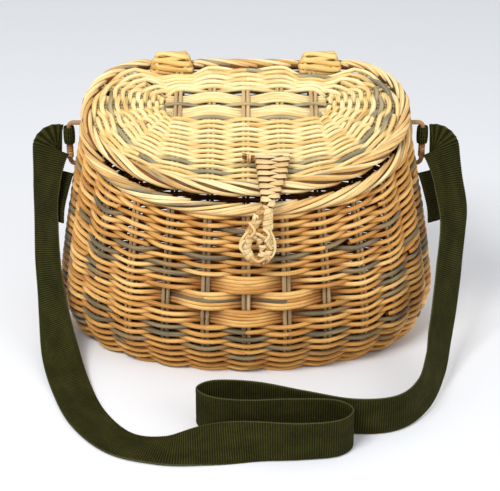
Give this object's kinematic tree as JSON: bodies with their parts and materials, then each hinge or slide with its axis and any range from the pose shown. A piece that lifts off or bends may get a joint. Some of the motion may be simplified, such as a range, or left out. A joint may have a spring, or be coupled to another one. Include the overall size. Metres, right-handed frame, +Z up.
{
  "type": "wicker fishing creel",
  "caption": "Wicker fishing creel: bellied woven basket with a cane-hinged sloping lid, a wound cane hasp and ring on the front, and a webbing shoulder strap between its sides.",
  "frame": {"origin": "floor below the centre of the creel's box, without the strap", "axes": "+Z up, front and hasp towards -Y, +X to the viewer's right"},
  "size_m": [0.4407, 0.3645, 0.2669],
  "materials": {
    "tan_willow": "satin peeled willow rods, weathered, with grey rods among them",
    "grey_willow": "satin grey-brown willow sticks",
    "cream_willow": "satin pale willow rods",
    "split_cane": "flat split cane, matt with a slight sheen",
    "olive_webbing": "ribbed olive green cotton webbing"
  },
  "bodies": {
    "basket": {"wall_weave": "tan_willow", "base_weave": "tan_willow", "base_sticks": "grey_willow", "side_stakes": "grey_willow", "rim_border": "cream_willow", "front_band_upper": "tan_willow", "front_band_middle": "tan_willow", "front_band_lower": "tan_willow", "strap_bar_left": "cream_willow", "strap_bar_right": "cream_willow", "strap_bar_wrap_left": "split_cane", "strap_bar_wrap_right": "split_cane", "hinge_loop_left": "split_cane", "hinge_loop_right": "split_cane", "latch_staple": "split_cane", "strap_webbing": "olive_webbing", "strap_tab_left": "olive_webbing", "strap_tab_right": "olive_webbing"},
    "lid": {"lid_weave": "tan_willow", "lid_border": "cream_willow", "lid_hinge_rod": "cream_willow", "lid_cross_sticks": "grey_willow", "lid_spine_sticks": "grey_willow", "lid_end_sticks": "grey_willow", "lid_band_back": "tan_willow", "lid_band_front": "tan_willow", "lid_core_rod": "grey_willow", "latch_bar": "grey_willow", "latch_bar_ties": "split_cane"},
    "hasp": {"hasp_fan": "split_cane", "hasp_stem": "split_cane", "hasp_ring": "split_cane", "hasp_ring_lining": "split_cane"}
  },
  "joints": [
    {"name": "lid_hinge", "type": "hinge", "parent": "basket", "child": "lid", "pos_m": [0, 0.10057, 0.25745], "axis": [-1, 0, 0], "range_deg": [0, 120]},
    {"name": "hasp_hinge", "type": "hinge", "parent": "lid", "child": "hasp", "pos_m": [0.02, -0.0503, 0.21694], "axis": [-1, 0, 0], "range_deg": [0, 150]}
  ]
}
